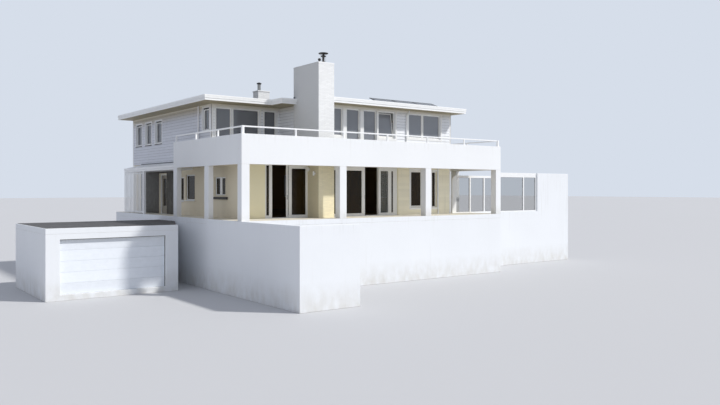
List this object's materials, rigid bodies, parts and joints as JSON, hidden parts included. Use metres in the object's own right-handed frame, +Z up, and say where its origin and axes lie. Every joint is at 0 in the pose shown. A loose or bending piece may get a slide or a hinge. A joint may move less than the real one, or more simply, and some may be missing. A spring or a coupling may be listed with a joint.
{
  "type": "beach house",
  "caption": "Two-storey white beach house with a columned veranda, roof terrace, flat overhanging roof, chimney, garage under a deck and a glazed windscreen.",
  "frame": {"origin": "middle of the base box, at the level of the driveway", "axes": "+X to the right along the long front, +Y from the front to the back, +Z up"},
  "size_m": [34.04, 22.48, 11.93],
  "materials": {
    "white_render": "matte white painted render",
    "lower_walls": "matte off-white painted boards and render",
    "siding": "white painted lapped boards",
    "painted_brick": "white painted brickwork",
    "white_frames": "satin white paint",
    "white_metal": "satin white paint",
    "garage_door": "satin pale grey paint",
    "floors": "pale paving on concrete",
    "deck_paving": "dark grey paving",
    "roof_edge": "white boarded edge, roofing felt on top",
    "solar_glass": "dark glazed panels",
    "dark_metal": "dark weathered metal",
    "window_glass": "clear glazing"
  },
  "bodies": {
    "house": {"plinth_walls": "white_render", "retaining_wall": "white_render", "ground_floor": "floors", "garage_front_wall": "white_render", "garage_walls": "white_render", "garage_deck": "deck_paving", "garage_door": "garage_door", "veranda_columns": "white_render", "front_parapet": "white_render", "side_parapets": "white_render", "terrace_railing": "white_metal", "lower_front_left_wall": "lower_walls", "lower_front_right_wall": "lower_walls", "lower_west_wall": "lower_walls", "entrance_lintel": "lower_walls", "lower_east_wall": "lower_walls", "lower_back_wall": "lower_walls", "lower_window_frames": "white_frames", "lower_glass": "window_glass", "door_frames": "white_frames", "upper_floor": "floors", "upper_front_left_wall": "siding", "upper_step_wall": "siding", "upper_front_right_wall": "siding", "upper_west_wall": "siding", "upper_east_wall": "siding", "upper_back_wall": "siding", "upper_window_frames": "white_frames", "upper_glass": "window_glass", "window_sills": "white_frames", "wall_lamps": "white_frames", "roof": "roof_edge", "solar_panels": "solar_glass", "chimney_stack": "painted_brick", "chimney_cowls": "dark_metal", "small_chimney": "painted_brick", "downpipes": "white_metal", "porch_canopy": "white_frames", "slat_screen": "white_frames", "garden_wall": "white_render", "windscreen_frame": "white_frames", "windscreen_glass": "window_glass"},
    "entrance_leaf": {"entrance_door": "white_frames"},
    "left_leaf": {"left_sliding_door": "white_frames"},
    "right_leaf": {"right_sliding_door": "white_frames"}
  },
  "joints": [
    {"name": "entrance_hinge", "type": "hinge", "parent": "house", "child": "entrance_leaf", "pos_m": [-8.296, 6.51, 3.45], "axis": [0, 0, 1], "range_deg": [0, 90]},
    {"name": "left_slide", "type": "slide", "parent": "house", "child": "left_leaf", "axis": [-1, 0, 0], "range_m": [0, 0.864]},
    {"name": "right_slide", "type": "slide", "parent": "house", "child": "right_leaf", "axis": [1, 0, 0], "range_m": [0, 0.874]}
  ]
}
